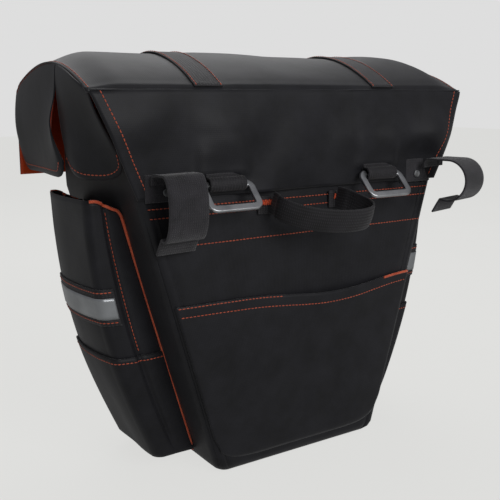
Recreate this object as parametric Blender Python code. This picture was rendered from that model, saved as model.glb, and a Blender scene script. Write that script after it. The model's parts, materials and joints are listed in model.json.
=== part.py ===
"""Bicycle pannier bag: tapered body, domed lid on a sewn hinge, two side pockets and rack hardware.

Metres, +Z up. The bag stands on its base at the origin, its rack side faces -Y and X is its width.
"""
from math import atan2, cos, hypot, pi, radians, sin

import bmesh
import bpy
from mathutils import Matrix, Vector

# Body
BODY_DEPTH = 0.165          # rack face to outer face
BASE_HALF_WIDTH = 0.092     # at the floor
HEM_HALF_WIDTH = 0.166      # at the hem of the rack panel
CREASE_HEIGHT = 0.350       # sewn fold that the lid turns on
REAR_DRAPE = 0.092          # crease down to the hem of the rack panel
RIM_DROP = 0.020            # crease down to the mouth of the bag
FABRIC = 0.0025             # coated fabric with its foam and lining
GAP = 0.0003                # between pieces that touch
HEM_HEIGHT = CREASE_HEIGHT - REAR_DRAPE
RIM_HEIGHT = CREASE_HEIGHT - RIM_DROP

# Lid
LID_OVERHANG = 0.038        # beyond the body at each side
LID_START = 0.012           # lid's rear edge in front of the crease, as a share of its depth
LID_RISE = 0.030            # dome above the straight line from crease to front edge
LID_FRONT_RISE = 0.004      # front edge above the crease
LID_REACH = 0.012           # front edge beyond the outer panel
DROP_LENGTH = 0.082         # crease down to the lower edge of the outer drop
WING_LENGTH = 0.077         # crease down to the lower edge of the side wings
NOTCH_DEPTH = 0.050         # crease down to the notch between wing and rear panel
REAR_FOOT_INSET = 0.009     # rear panel's foot inside the edge of the hem
LID_HALF_WIDTH = HEM_HALF_WIDTH + LID_OVERHANG
LID_FRONT_HEIGHT = CREASE_HEIGHT + LID_FRONT_RISE
DROP_HEIGHT = CREASE_HEIGHT - DROP_LENGTH
WING_HEIGHT = CREASE_HEIGHT - WING_LENGTH
NOTCH_HEIGHT = CREASE_HEIGHT - NOTCH_DEPTH
REAR_FOOT = HEM_HALF_WIDTH - REAR_FOOT_INSET

# Straps and buckles on the outer side
STRAP_X = 0.097
STRAP_WIDTH = 0.028
WEBBING = 0.0016
BUCKLE_WALL = 0.0018
BUCKLE_SIDE = 0.0022        # side walls of the socket
BUCKLE_WIDTH = STRAP_WIDTH + 0.008
BUCKLE_DROP = 0.016         # lid drop down to the buckle
MALE_BODY = 0.020
PRONG_LENGTH = 0.019
PRONG_THICKNESS = 0.004
PRONG_SETBACK = 0.0030      # prongs behind the webbing
FEMALE_HEIGHT = 0.036
BUCKLE_CLEARANCE = 0.0010   # round the prongs inside the socket
UNCLIPPED_GAP = 0.0015      # prong tips above the socket when open
STRAP_TAIL_LENGTH = 0.138   # lid drop down to the strap's free end
CLOSURE_LENGTH = 0.1165     # socket's mouth down to the foot of the strap sewn to the outer panel
MALE_TOP = DROP_HEIGHT - BUCKLE_DROP
STRAP_TAIL = DROP_HEIGHT - STRAP_TAIL_LENGTH

# Side pockets
POCKET_DEPTH = 0.085        # along the side of the bag
POCKET_BELOW_LID = 0.026    # wings' lower edge down to the pocket's mouth
POCKET_FLOOR = 0.010
POCKET_REACH_TOP = 0.033
POCKET_REACH_BASE = 0.039
POCKET_BULGE = 0.014
STRIPE_LOW = 0.153
STRIPE_WIDTH = 0.019
STRIPE = 0.0006
POCKET_TOP = WING_HEIGHT - POCKET_BELOW_LID

# Rack pocket
RACK_POCKET_TOP = 0.165
RACK_POCKET_MOUTH = 0.0085  # stand-off of the mouth from the rack panel

# Stiffeners
BOARD = 0.0025
BOARD_MARGIN = 0.010

# Rack hooks: a steel loop turning in a folded webbing tab
HOOK_OUTER_WIDTH = 0.054
HOOK_OUTER_DEPTH = 0.032
HOOK_CORNER = 0.009
HOOK_BAR = 0.0065
HOOK_STEEL = 0.0035
HOOK_DROOP = radians(46)
HOOK_ABOVE_HEM = 0.010
TAB_SIDE_ROOM = 0.0025      # between the tab and the loop's arms
TAB_WALL = 0.0020
TAB_CLEARANCE = 0.0006
TAB_TAIL = 0.022
HOOK_AXIS_HEIGHT = HEM_HEIGHT + HOOK_ABOVE_HEM
TAB_WIDTH = HOOK_OUTER_WIDTH - 2 * (HOOK_BAR + TAB_SIDE_ROOM)

# Hook-and-loop straps
GRIP_FROM_EDGE = 0.025      # edge of the hem in to the strap's middle
GRIP_WIDTH = 0.038
GRIP_BESIDE_HOOK = 0.008
GRIP_RADIUS = {"left": 0.0265, "right": 0.0200}
GRIP_TAPE = 0.0018
GRIP_ABOVE_HEM = 0.021
GRIP_STANDOFF = 0.006       # back of the curl from its axis
GRIP_TAIL = 0.016
GRIP_ROOT = 0.023
GRIP_YAW = {"left": radians(6), "right": radians(15)}
GRIP_SHIFT = {"left": 0.004, "right": 0.020}
GRIP_FLAT = {"left": 0.36, "right": 1.0}     # how far the curl stands out, for its height
RIVET_ABOVE_HEM = 0.006
RIVET_HEAD = 0.0035
RIVET_SHANK = 0.0016
GRIP_X = HEM_HALF_WIDTH - GRIP_FROM_EDGE
GRIP_HEIGHT = HEM_HEIGHT + GRIP_ABOVE_HEM
RIVET_HEIGHT = HEM_HEIGHT + RIVET_ABOVE_HEM
HOOK_X = GRIP_X - GRIP_WIDTH / 2 - GRIP_BESIDE_HOOK - HOOK_OUTER_WIDTH / 2

# Carry handle
HANDLE_BESIDE_HOOK = 0.020
HANDLE_REACH = 0.050
HANDLE_WIDTH = 0.022
HANDLE_BELOW_HEM = 0.008
HANDLE_DROOP = radians(33)
HANDLE_ANCHOR = 0.016
HANDLE_HALF_SPAN = HOOK_X - HOOK_OUTER_WIDTH / 2 - HANDLE_BESIDE_HOOK
HANDLE_HEIGHT = HEM_HEIGHT - HANDLE_BELOW_HEM
HANDLE_STANDOFF = HANDLE_WIDTH / 2 + 0.0015    # ends of the bow from its axis, so that it swings clear

RACK_Y = -BODY_DEPTH / 2
OUTER_Y = BODY_DEPTH / 2
SIDES = (("left", -1), ("right", 1))

COLLECTION = "pannier_bag"


def clear_scene():
    for obj in list(bpy.data.objects):
        bpy.data.objects.remove(obj, do_unlink=True)
    for name in (COLLECTION, "cutters"):
        group = bpy.data.collections.new(name)
        bpy.context.scene.collection.children.link(group)
    bpy.data.collections["cutters"].hide_render = True


def material(name, colour, roughness, metallic=0.0):
    mat = bpy.data.materials.new(name)
    mat.use_nodes = True
    shader = mat.node_tree.nodes["Principled BSDF"]
    shader.inputs["Base Color"].default_value = (*colour, 1.0)
    shader.inputs["Roughness"].default_value = roughness
    shader.inputs["Metallic"].default_value = metallic
    mat.diffuse_color = (*colour, 1.0)
    return mat


def body_half(height):
    """Half width of the tapered body at a height: straight sides to the hem, upright above it."""
    share = min(height / HEM_HEIGHT, 1.0)
    return BASE_HALF_WIDTH + (HEM_HALF_WIDTH - BASE_HALF_WIDTH) * share


def arc(centre, radius, start, end, steps):
    """Points of an arc, angles in radians, counter-clockwise positive."""
    turn = [start + (end - start) * i / steps for i in range(steps + 1)]
    return [(centre[0] + radius * cos(a), centre[1] + radius * sin(a)) for a in turn]


def offset_path(path, distance):
    """The open path moved to its left by a distance, with mitred corners."""
    moved = []
    for i, (u, v) in enumerate(path):
        before = path[max(i - 1, 0)]
        after = path[min(i + 1, len(path) - 1)]
        normals = []
        for a, b in ((before, (u, v)), ((u, v), after)):
            length = hypot(b[0] - a[0], b[1] - a[1])
            if length > 0:
                normals.append(Vector((-(b[1] - a[1]) / length, (b[0] - a[0]) / length)))
        mitre = sum(normals, Vector((0, 0))).normalized()
        reach = distance / max(mitre.dot(normals[0]), 0.5)
        moved.append((u + mitre.x * reach, v + mitre.y * reach))
    return moved


def band(path, inner, outer):
    """Closed outline of the strip between two offsets of a path."""
    return offset_path(path, inner) + offset_path(path, outer)[::-1]


def place(obj, mat, group=COLLECTION):
    bpy.data.collections[group].objects.link(obj)
    if mat:
        obj.data.materials.append(mat)
    return obj


def prism(name, loops, axis, centre, thickness, mat, group=COLLECTION):
    """A flat outline, with holes if it has more loops, made thick along an axis.

    Along X an outline is (y, z), along Y it is (x, z) and along Z it is (x, y).
    """
    curve = bpy.data.curves.new(name, "CURVE")
    curve.dimensions = "2D"
    curve.fill_mode = "BOTH"
    curve.extrude = thickness / 2
    for loop in loops:
        spline = curve.splines.new("POLY")
        spline.points.add(len(loop) - 1)
        for point, (u, v) in zip(spline.points, loop):
            point.co = (u, v, 0, 1)
        spline.use_cyclic_u = True
    obj = bpy.data.objects.new(name, curve)
    if axis == "X":
        obj.rotation_euler = (pi / 2, 0, pi / 2)
        obj.location = (centre, 0, 0)
    elif axis == "Y":
        obj.rotation_euler = (pi / 2, 0, 0)
        obj.location = (0, centre, 0)
    else:
        obj.location = (0, 0, centre)
    return place(obj, mat, group)


def plate(name, outline, axis, low, high, mat):
    return prism(name, [outline], axis, (low + high) / 2, high - low, mat)


def meshed(obj):
    """The curve object as a mesh object with welded caps, in the same place."""
    bpy.context.view_layer.update()
    graph = bpy.context.evaluated_depsgraph_get()
    mesh = bpy.data.meshes.new_from_object(obj.evaluated_get(graph))
    bm = bmesh.new()
    bm.from_mesh(mesh)
    bmesh.ops.remove_doubles(bm, verts=bm.verts, dist=1e-6)
    bmesh.ops.recalc_face_normals(bm, faces=bm.faces)
    bm.to_mesh(mesh)
    bm.free()
    name, group, matrix = obj.name, obj.users_collection[0], obj.matrix_world.copy()
    bpy.data.objects.remove(obj, do_unlink=True)
    solid = bpy.data.objects.new(name, mesh)
    solid.matrix_world = matrix
    group.objects.link(solid)
    return solid


def block(name, low, high, mat=None, group="cutters"):
    """A box between two corners."""
    bm = bmesh.new()
    size = Vector(high) - Vector(low)
    bmesh.ops.create_cube(bm, size=1.0, matrix=Matrix.Diagonal((*size, 1.0)))
    mesh = bpy.data.meshes.new(name)
    bm.to_mesh(mesh)
    bm.free()
    obj = bpy.data.objects.new(name, mesh)
    obj.location = (Vector(low) + Vector(high)) / 2
    return helper(place(obj, mat, group), group)


def rod(name, radius, length, centre, mat=None, group="cutters", sides=16):
    """A cylinder along Y."""
    bm = bmesh.new()
    turn = Matrix.Rotation(pi / 2, 4, "X")
    bmesh.ops.create_cone(bm, cap_ends=True, segments=sides, radius1=radius, radius2=radius,
                          depth=length, matrix=turn)
    mesh = bpy.data.meshes.new(name)
    bm.to_mesh(mesh)
    bm.free()
    obj = bpy.data.objects.new(name, mesh)
    obj.location = centre
    return helper(place(obj, mat, group), group)


def helper(obj, group):
    if group == "cutters":
        obj.hide_render = True
        obj.display_type = "WIRE"
    return obj


def boolean(target, tool, operation="DIFFERENCE"):
    mod = target.modifiers.new(f"{operation.lower()}_{tool.name}", "BOOLEAN")
    mod.operation = operation
    mod.object = tool


def pivot(name, location):
    """An empty on a joint's axis, to parent the moving piece to."""
    empty = bpy.data.objects.new(name, None)
    empty.location = location
    bpy.data.collections[COLLECTION].objects.link(empty)
    return empty


def hang(obj, empty):
    """Parents a piece to an empty and keeps its place."""
    bpy.context.view_layer.update()
    obj.parent = empty
    obj.matrix_parent_inverse = empty.matrix_world.inverted()


# ---------------------------------------------------------------- body

def body_outline(low, high, inset=0.0):
    """Trapezium of the body seen from the rack, with a corner at the hem if it passes it."""
    right = [(body_half(low) - inset, low)]
    if high > HEM_HEIGHT:
        right.append((body_half(HEM_HEIGHT) - inset, HEM_HEIGHT))
    right.append((body_half(high) - inset, high))
    return right + [(-x, z) for x, z in reversed(right)]


def rear_half(height):
    """Half width of the lid's rear panel, which widens from the hem to the crease."""
    share = (height - HEM_HEIGHT) / (CREASE_HEIGHT - HEM_HEIGHT)
    return REAR_FOOT + (LID_HALF_WIDTH - REAR_FOOT) * share


def make_body(cloth):
    floor_top = FABRIC + GAP
    edge = BASE_HALF_WIDTH
    plate("base_panel", [(-edge, RACK_Y), (edge, RACK_Y), (edge, OUTER_Y), (-edge, OUTER_Y)],
          "Z", 0, FABRIC, cloth)
    plate("outer_panel", body_outline(floor_top, RIM_HEIGHT), "Y", OUTER_Y - FABRIC, OUTER_Y, cloth)
    depth = BODY_DEPTH - 2 * (FABRIC + GAP)
    for side, sign in SIDES:
        path = [(sign * body_half(z), z) for z in (floor_top, HEM_HEIGHT, RIM_HEIGHT)]
        inward = sign * FABRIC
        prism(f"side_panel_{side}", [band(path, 0, inward)], "Y", 0, depth, cloth)

    rack = meshed(plate("rack_panel", body_outline(floor_top, HEM_HEIGHT - GAP), "Y",
                        RACK_Y, RACK_Y + FABRIC, cloth))
    foot, crease = HEM_HEIGHT + GAP, CREASE_HEIGHT - FABRIC - GAP
    outline = [(-rear_half(foot), foot), (rear_half(foot), foot),
               (rear_half(crease), crease), (-rear_half(crease), crease)]
    rear = meshed(plate("lid_rear_panel", outline, "Y", RACK_Y, RACK_Y + FABRIC, cloth))
    return rack, rear


def make_boards(board):
    """Stiffeners inside: one behind the rack side, one on the base."""
    inner = RACK_Y + FABRIC + GAP
    wall = FABRIC + GAP + BOARD_MARGIN / 2
    low = 2 * FABRIC + BOARD + 2 * GAP + BOARD_MARGIN / 2
    back = meshed(plate("back_stiffener", body_outline(low, RIM_HEIGHT - BOARD_MARGIN, wall),
                        "Y", inner, inner + BOARD, board))
    half = BASE_HALF_WIDTH - BOARD_MARGIN / 2
    front, rear = OUTER_Y - FABRIC - BOARD_MARGIN / 2, inner + BOARD_MARGIN / 2
    floor = FABRIC + GAP
    plate("base_stiffener", [(-half, rear), (half, rear), (half, front), (-half, front)],
          "Z", floor, floor + BOARD, board)
    return back


def make_rack_pocket(cloth):
    """Patch pocket on the rack panel: closed at its foot, open and standing off at its mouth."""
    foot = FABRIC + BOARD_MARGIN
    lean = atan2(RACK_POCKET_MOUTH - GAP, RACK_POCKET_TOP - foot)
    height = hypot(RACK_POCKET_MOUTH - GAP, RACK_POCKET_TOP - foot)
    low, high = body_half(foot) - FABRIC, body_half(RACK_POCKET_TOP) - FABRIC
    outline = [(-low, 0), (low, 0), (high, height), (-high, height)]
    panel = plate("rack_pocket_panel", outline, "Y", 0, FABRIC, cloth)
    panel.rotation_euler = (pi / 2 + lean, 0, 0)
    panel.location = (0, RACK_Y - GAP - FABRIC / 2 / cos(lean), foot)


# ---------------------------------------------------------------- lid

def dome(share):
    """Point of the lid's outer surface, from the crease (0) to its front edge (1)."""
    front = OUTER_Y + LID_REACH
    y = RACK_Y + (front - RACK_Y) * share
    z = CREASE_HEIGHT + (LID_FRONT_HEIGHT - CREASE_HEIGHT) * share
    return y, z + LID_RISE * sin(pi * share) ** 0.8


def dome_path(start, end, steps=12):
    return [dome(start + (end - start) * i / steps) for i in range(steps + 1)]


def make_lid(cloth, hinge):
    prism("lid_top", [band(dome_path(LID_START, 1), 0, -FABRIC)], "X", 0, 2 * LID_HALF_WIDTH, cloth)

    front = OUTER_Y + LID_REACH
    top = LID_FRONT_HEIGHT - FABRIC - 3 * GAP
    half = LID_HALF_WIDTH
    corner = 0.012
    outline = [(half, top), (-half, top)]
    outline += arc((-half + corner, DROP_HEIGHT + corner), corner, pi, 1.5 * pi, 4)
    outline += arc((half - corner, DROP_HEIGHT + corner), corner, 1.5 * pi, 2 * pi, 4)
    plate("lid_outer_drop", outline, "Y", front - FABRIC, front, cloth)

    wing_front = front - FABRIC - GAP
    wing_rear = RACK_Y + FABRIC + 3 * GAP
    reach = (wing_front - RACK_Y) / (front - RACK_Y)
    facet_room = 0.0012
    under = offset_path(dome_path(0.05, reach, 12), -FABRIC - facet_room)
    under = [(min(y, wing_front), z) for y, z in under]
    notch = 0.028
    hem = [(wing_rear, CREASE_HEIGHT - FABRIC - facet_room), (wing_rear, NOTCH_HEIGHT + notch / 2)]
    hem += arc((wing_rear + notch, NOTCH_HEIGHT), notch * 0.97, pi, 1.5 * pi, 5)
    hem += arc((wing_front - notch, NOTCH_HEIGHT), notch * 0.97, 1.5 * pi, 2 * pi, 5)
    hem = [(y, max(z, WING_HEIGHT)) for y, z in hem]
    for side, sign in SIDES:
        inner, outer = sign * (half - FABRIC), sign * half
        plate(f"lid_wing_{side}", hem + under[::-1], "X", min(inner, outer), max(inner, outer), cloth)
    for name in ("lid_top", "lid_outer_drop", "lid_wing_left", "lid_wing_right"):
        hang(bpy.data.objects[name], hinge)


# ---------------------------------------------------------------- lid straps and buckles

def strap_path():
    """Middle of the lid strap: over the dome, round the front edge and down to its free end."""
    surface = dome_path(LID_START, 1)
    start = tuple((a + b) / 2 for a, b in zip(surface[0], surface[1]))
    return [start, *surface[1:], (OUTER_Y + LID_REACH, STRAP_TAIL)]


def strap_layers():
    """Y of the strap's faces where it hangs."""
    inner = OUTER_Y + LID_REACH + GAP
    return inner, inner + WEBBING


def buckle_layers():
    """Y of the faces of the prongs, and of the socket that they go into."""
    prong_outer = strap_layers()[0] - PRONG_SETBACK
    prong_inner = prong_outer - PRONG_THICKNESS
    socket_inner = prong_inner - BUCKLE_CLEARANCE - BUCKLE_WALL
    socket_outer = min(prong_outer + BUCKLE_CLEARANCE + BUCKLE_WALL, strap_layers()[0] - 2 * GAP)
    return prong_inner, prong_outer, socket_inner, socket_outer


def prong_outlines(centre, top, bottom, grow=0.0):
    """Two barbed side prongs and a middle guide, as seen from the outer side."""
    barb, thick = 0.0022, 0.0042
    lean = BUCKLE_WIDTH / 2 - BUCKLE_SIDE - 0.0007 - barb - thick / 2
    outlines = []
    for sign in (-1, 1):
        x = centre + sign * lean
        outlines.append([(x - sign * (thick / 2 + grow), top), (x + sign * (thick / 2 + grow), top),
                         (x + sign * (thick / 2 + grow), bottom + 0.009),
                         (x + sign * (thick / 2 + barb + grow), bottom + 0.007),
                         (x + sign * (thick / 2 - 0.001 + grow), bottom - grow),
                         (x - sign * (thick / 2 + grow), bottom - grow)])
    guide = 0.0026 + grow
    outlines.append([(centre - guide, top), (centre + guide, top),
                     (centre + guide * 0.7, bottom + 0.002), (centre - guide * 0.7, bottom + 0.002)])
    return outlines


def rounded_box(left, right, low, high, corner):
    return (arc((right - corner, low + corner), corner, -pi / 2, 0, 3)
            + arc((right - corner, high - corner), corner, 0, pi / 2, 3)
            + arc((left + corner, high - corner), corner, pi / 2, pi, 3)
            + arc((left + corner, low + corner), corner, pi, 1.5 * pi, 3))


def make_buckle(side, centre, plastic, slide):
    strap_inner, strap_outer = strap_layers()
    prong_inner, prong_outer, socket_inner, socket_outer = buckle_layers()
    half = BUCKLE_WIDTH / 2
    low = MALE_TOP - MALE_BODY
    body = meshed(plate(f"buckle_male_{side}", rounded_box(centre - half, centre + half, low, MALE_TOP, 0.003),
                        "Y", prong_inner - 0.0004, strap_outer + GAP + BUCKLE_WALL, plastic))
    slot = block(f"strap_slot_{side}",
                 (centre - STRAP_WIDTH / 2 - GAP, strap_inner - GAP, low - 0.01),
                 (centre + STRAP_WIDTH / 2 + GAP, strap_outer + GAP, MALE_TOP + 0.01))
    boolean(body, slot)
    for number, outline in enumerate(prong_outlines(centre, low + 0.004, low - PRONG_LENGTH)):
        prong = prism(f"prong_{side}_{number}", [outline], "Y", (prong_inner + prong_outer) / 2,
                      PRONG_THICKNESS, None, "cutters")
        boolean(body, helper(meshed(prong), "cutters"), "UNION")
    hang(body, slide)

    mouth = low - PRONG_LENGTH - UNCLIPPED_GAP
    socket = meshed(plate(f"buckle_female_{side}",
                          rounded_box(centre - half, centre + half, mouth - FEMALE_HEIGHT, mouth, 0.003),
                          "Y", socket_inner, socket_outer, plastic))
    spread = half - BUCKLE_SIDE
    cavity = block(f"socket_cavity_{side}",
                   (centre - spread, prong_inner - BUCKLE_CLEARANCE, mouth - PRONG_LENGTH - 0.003),
                   (centre + spread, prong_outer + BUCKLE_CLEARANCE, mouth + 0.01))
    boolean(socket, cavity)
    return mouth


def make_straps(webbing, plastic, hinge):
    for side, sign in SIDES:
        centre = sign * STRAP_X
        outline = band(strap_path(), GAP, GAP + WEBBING)
        strap = prism(f"lid_strap_{side}", [outline], "X", centre, STRAP_WIDTH, webbing)
        hang(strap, hinge)
        slide = pivot(f"buckle_slide_{side}", (centre, strap_layers()[0], MALE_TOP))
        hang(slide, hinge)
        mouth = make_buckle(side, centre, plastic, slide)
        top = mouth - 0.006
        foot = mouth - CLOSURE_LENGTH
        outline = [(centre - STRAP_WIDTH / 2, foot), (centre + STRAP_WIDTH / 2, foot),
                   (centre + STRAP_WIDTH / 2, top), (centre - STRAP_WIDTH / 2, top)]
        behind = buckle_layers()[2] - GAP
        plate(f"closure_strap_{side}", outline, "Y", OUTER_Y + GAP, min(OUTER_Y + GAP + WEBBING, behind), webbing)


# ---------------------------------------------------------------- side pockets

def pocket_reach(height):
    """How far the pocket's face stands off the body at a height."""
    share = (height - POCKET_FLOOR) / (POCKET_TOP - POCKET_FLOOR)
    return (POCKET_REACH_BASE + (POCKET_REACH_TOP - POCKET_REACH_BASE) * share
            + POCKET_BULGE * sin(pi * share))


def face_path(low, high, steps=8):
    """Outer surface of the right pocket's face as (x, z), upwards."""
    levels = [low + (high - low) * i / steps for i in range(steps + 1)]
    return [(body_half(z) + pocket_reach(z), z) for z in levels]


def mirrored(outline, sign):
    return [(sign * x, z) for x, z in outline]


def make_pockets(cloth, reflective):
    end_y = POCKET_DEPTH / 2
    for side, sign in SIDES:
        face = band(face_path(POCKET_FLOOR, POCKET_TOP), 0, FABRIC)
        prism(f"pocket_face_{side}", [mirrored(face, sign)], "Y", 0, POCKET_DEPTH, cloth)
        inner = offset_path(face_path(POCKET_FLOOR + FABRIC + GAP, POCKET_TOP - 0.006), FABRIC + GAP)
        body = [(body_half(z) + GAP, z) for _, z in (inner[-1], inner[0])]
        gusset = mirrored(inner + body, sign)
        for end, y in (("rack", -end_y), ("outer", end_y - FABRIC)):
            plate(f"pocket_gusset_{end}_{side}", gusset, "Y", y, y + FABRIC, cloth)
        reach = body_half(POCKET_FLOOR) + pocket_reach(POCKET_FLOOR) - FABRIC - 2 * GAP
        start = body_half(POCKET_FLOOR + FABRIC) + GAP
        corners = [(sign * start, -end_y), (sign * reach, -end_y),
                   (sign * reach, end_y), (sign * start, end_y)]
        plate(f"pocket_floor_{side}", corners, "Z", POCKET_FLOOR, POCKET_FLOOR + FABRIC, cloth)
        stripe = band(face_path(STRIPE_LOW, STRIPE_LOW + STRIPE_WIDTH, 3), -GAP, -GAP - STRIPE)
        prism(f"reflective_strip_{side}", [mirrored(stripe, sign)], "Y", 0, POCKET_DEPTH, reflective)


# ---------------------------------------------------------------- rack hooks

def hook_axis():
    bore = hypot(HOOK_BAR, HOOK_STEEL) / 2 + TAB_CLEARANCE
    return RACK_Y - GAP - TAB_WALL - bore, bore


def make_hooks(webbing, steel):
    axis_y, bore = hook_axis()
    outer = bore + TAB_WALL
    sides = 16
    for side, sign in SIDES:
        centre = sign * HOOK_X
        face = RACK_Y - GAP
        tail = HOOK_AXIS_HEIGHT + TAB_TAIL
        outline = arc((axis_y, HOOK_AXIS_HEIGHT), outer, pi / 4, 2 * pi, 14)
        outline += [(face, HOOK_AXIS_HEIGHT), (face, tail), (face - 2 * WEBBING, tail)]
        hole = arc((axis_y, HOOK_AXIS_HEIGHT), bore, 0, 2 * pi * (sides - 1) / sides, sides - 1)
        prism(f"hook_tab_{side}", [outline, hole], "X", centre, TAB_WIDTH, webbing)

        swing = pivot(f"hook_axis_{side}", (centre, axis_y, HOOK_AXIS_HEIGHT))
        half, depth, corner = HOOK_OUTER_WIDTH / 2, HOOK_OUTER_DEPTH, HOOK_CORNER
        back = HOOK_BAR / 2
        ring = rounded_box(-half, half, back - depth, back, corner)
        inside = rounded_box(-half + HOOK_BAR, half - HOOK_BAR, back - depth + HOOK_BAR,
                             back - HOOK_BAR, corner - HOOK_BAR)
        hook = prism(f"hook_{side}", [ring, inside[::-1]], "Z", 0, HOOK_STEEL, steel)
        hook.location = swing.location
        hook.rotation_euler = (HOOK_DROOP, 0, 0)
        hang(hook, swing)


# ---------------------------------------------------------------- carry handle

def make_handle(webbing):
    """A short webbing bow that hangs outwards from two sewn ends."""
    pivot_y = RACK_Y - GAP - WEBBING - 0.0022
    swing = pivot("handle_axis", (0, pivot_y, HANDLE_HEIGHT))
    steps = 14
    path = []
    for i in range(steps + 1):
        turn = pi * i / steps
        x = HANDLE_HALF_SPAN * cos(turn) * (1 + 0.12 * sin(turn))
        bow = (HANDLE_REACH - HANDLE_STANDOFF) * sin(turn) ** 0.75
        path.append((x, -HANDLE_STANDOFF - bow))
    handle = prism("carry_handle", [band(path, -WEBBING / 2, WEBBING / 2)], "Z", 0, HANDLE_WIDTH, webbing)
    handle.location = swing.location
    handle.rotation_euler = (HANDLE_DROOP, 0, 0)
    hang(handle, swing)
    for side, sign in SIDES:
        centre = sign * HANDLE_HALF_SPAN
        half, rise = HANDLE_WIDTH / 2, HANDLE_ANCHOR / 2
        middle = HANDLE_HEIGHT - rise / 2
        outline = [(centre - half, middle - rise), (centre + half, middle - rise),
                   (centre + half, middle + rise), (centre - half, middle + rise)]
        plate(f"handle_anchor_{side}", outline, "Y", RACK_Y - GAP - WEBBING, RACK_Y - GAP, webbing)


# ---------------------------------------------------------------- hook-and-loop straps

def curl_path(radius, flat):
    """Strap seen along its curl: out from the root, round the curl, then the free tail."""
    centre = (-GRIP_STANDOFF - radius * flat, -radius)
    root = (-2.5 * GRIP_TAPE, 0.0)
    last = radians(292)
    curl = [(centre[0] + flat * x, centre[1] + z)
            for x, z in arc((0, 0), radius, pi / 2, last, 14)]
    end = curl[-1]
    heading = last + pi / 2 - radians(82)
    tail = (end[0] + GRIP_TAIL * cos(heading), end[1] + GRIP_TAIL * sin(heading))
    return [root, *curl, tail]


def make_grip_straps(webbing, steel, rack, rear, back):
    half = GRIP_WIDTH / 2
    for side, sign in SIDES:
        centre = sign * GRIP_X
        low = HEM_HEIGHT - 0.002
        face = RACK_Y - GAP
        anchor = [(centre - half, low), (centre + half, low),
                  (centre + half, low + GRIP_ROOT), (centre - half, low + GRIP_ROOT)]
        anchor_node = meshed(plate(f"grip_strap_root_{side}", anchor, "Y", face - GRIP_TAPE, face, webbing))

        yaw = GRIP_YAW[side]
        root_y = face - GRIP_TAPE / 2 - half * sin(abs(yaw))
        swing = pivot(f"grip_axis_{side}", (centre + GRIP_SHIFT[side], root_y, GRIP_HEIGHT))
        strap = prism(f"grip_strap_{side}", [band(curl_path(GRIP_RADIUS[side], GRIP_FLAT[side]), -GRIP_TAPE / 2, GRIP_TAPE / 2)],
                      "X", 0, GRIP_WIDTH, webbing)
        strap.location = swing.location
        strap.rotation_euler = (pi / 2, 0, pi / 2 + yaw)
        hang(strap, swing)

        shank = RIVET_SHANK
        hole_at = (centre, RACK_Y, RIVET_HEIGHT)
        drill = rod(f"rivet_hole_{side}", shank + GAP, 0.04, hole_at)
        for target in (anchor_node, rear, back):
            boolean(target, drill)
        front = face - GRIP_TAPE - GAP
        inner = RACK_Y + FABRIC + GAP + BOARD + GAP
        rivet = rod(f"strap_rivet_{side}", shank, inner - front + 0.002,
                    (centre, (inner + front) / 2, RIVET_HEIGHT), steel, COLLECTION)
        head = rod(f"rivet_head_{side}", RIVET_HEAD, 0.0012, (centre, front - 0.0006, RIVET_HEIGHT))
        burr = rod(f"rivet_burr_{side}", RIVET_HEAD * 0.9, 0.0010, (centre, inner + 0.0005, RIVET_HEIGHT))
        boolean(rivet, head, "UNION")
        boolean(rivet, burr, "UNION")


def main():
    clear_scene()
    cloth = material("coated_polyester", (0.017, 0.017, 0.021), 0.62)
    webbing = material("black_webbing", (0.026, 0.025, 0.028), 0.8)
    steel = material("grey_steel", (0.36, 0.37, 0.38), 0.38, 1.0)
    plastic = material("black_plastic", (0.015, 0.015, 0.016), 0.45)
    board = material("stiffener_board", (0.05, 0.05, 0.05), 0.7)
    reflective = material("reflective_tape", (0.24, 0.25, 0.26), 0.4)

    rack, rear = make_body(cloth)
    back = make_boards(board)
    make_rack_pocket(cloth)
    hinge = pivot("lid_hinge", (0, RACK_Y, CREASE_HEIGHT))
    make_lid(cloth, hinge)
    make_straps(webbing, plastic, hinge)
    make_pockets(cloth, reflective)
    make_hooks(webbing, steel)
    make_handle(webbing)
    make_grip_straps(webbing, steel, rack, rear, back)


main()
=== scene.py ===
import json
import math
import bpy
from mathutils import Matrix, Vector, noise

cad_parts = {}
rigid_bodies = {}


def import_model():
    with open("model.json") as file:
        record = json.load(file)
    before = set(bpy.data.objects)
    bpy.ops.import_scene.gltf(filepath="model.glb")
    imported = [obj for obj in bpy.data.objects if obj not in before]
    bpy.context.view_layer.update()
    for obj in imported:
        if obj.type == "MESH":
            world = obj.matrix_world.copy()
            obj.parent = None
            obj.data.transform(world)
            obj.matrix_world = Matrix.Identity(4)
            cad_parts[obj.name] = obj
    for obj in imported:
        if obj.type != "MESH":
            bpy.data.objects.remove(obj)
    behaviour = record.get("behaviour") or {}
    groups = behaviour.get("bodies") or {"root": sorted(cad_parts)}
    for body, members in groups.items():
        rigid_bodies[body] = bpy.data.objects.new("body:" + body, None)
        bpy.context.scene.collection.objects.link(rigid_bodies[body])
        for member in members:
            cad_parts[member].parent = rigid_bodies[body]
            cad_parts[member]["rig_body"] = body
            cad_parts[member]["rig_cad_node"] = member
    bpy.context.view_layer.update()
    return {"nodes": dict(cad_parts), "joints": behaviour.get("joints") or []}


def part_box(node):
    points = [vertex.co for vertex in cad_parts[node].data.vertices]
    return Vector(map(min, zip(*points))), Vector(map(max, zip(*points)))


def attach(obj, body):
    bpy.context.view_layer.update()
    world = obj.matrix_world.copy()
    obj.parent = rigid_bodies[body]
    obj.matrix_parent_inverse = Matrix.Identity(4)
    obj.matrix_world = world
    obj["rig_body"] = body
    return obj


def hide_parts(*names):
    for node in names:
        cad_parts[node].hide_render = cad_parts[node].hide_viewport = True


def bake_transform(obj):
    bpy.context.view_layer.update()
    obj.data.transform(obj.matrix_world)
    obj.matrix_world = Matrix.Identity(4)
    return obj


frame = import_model()
print("frame loaded")

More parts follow.
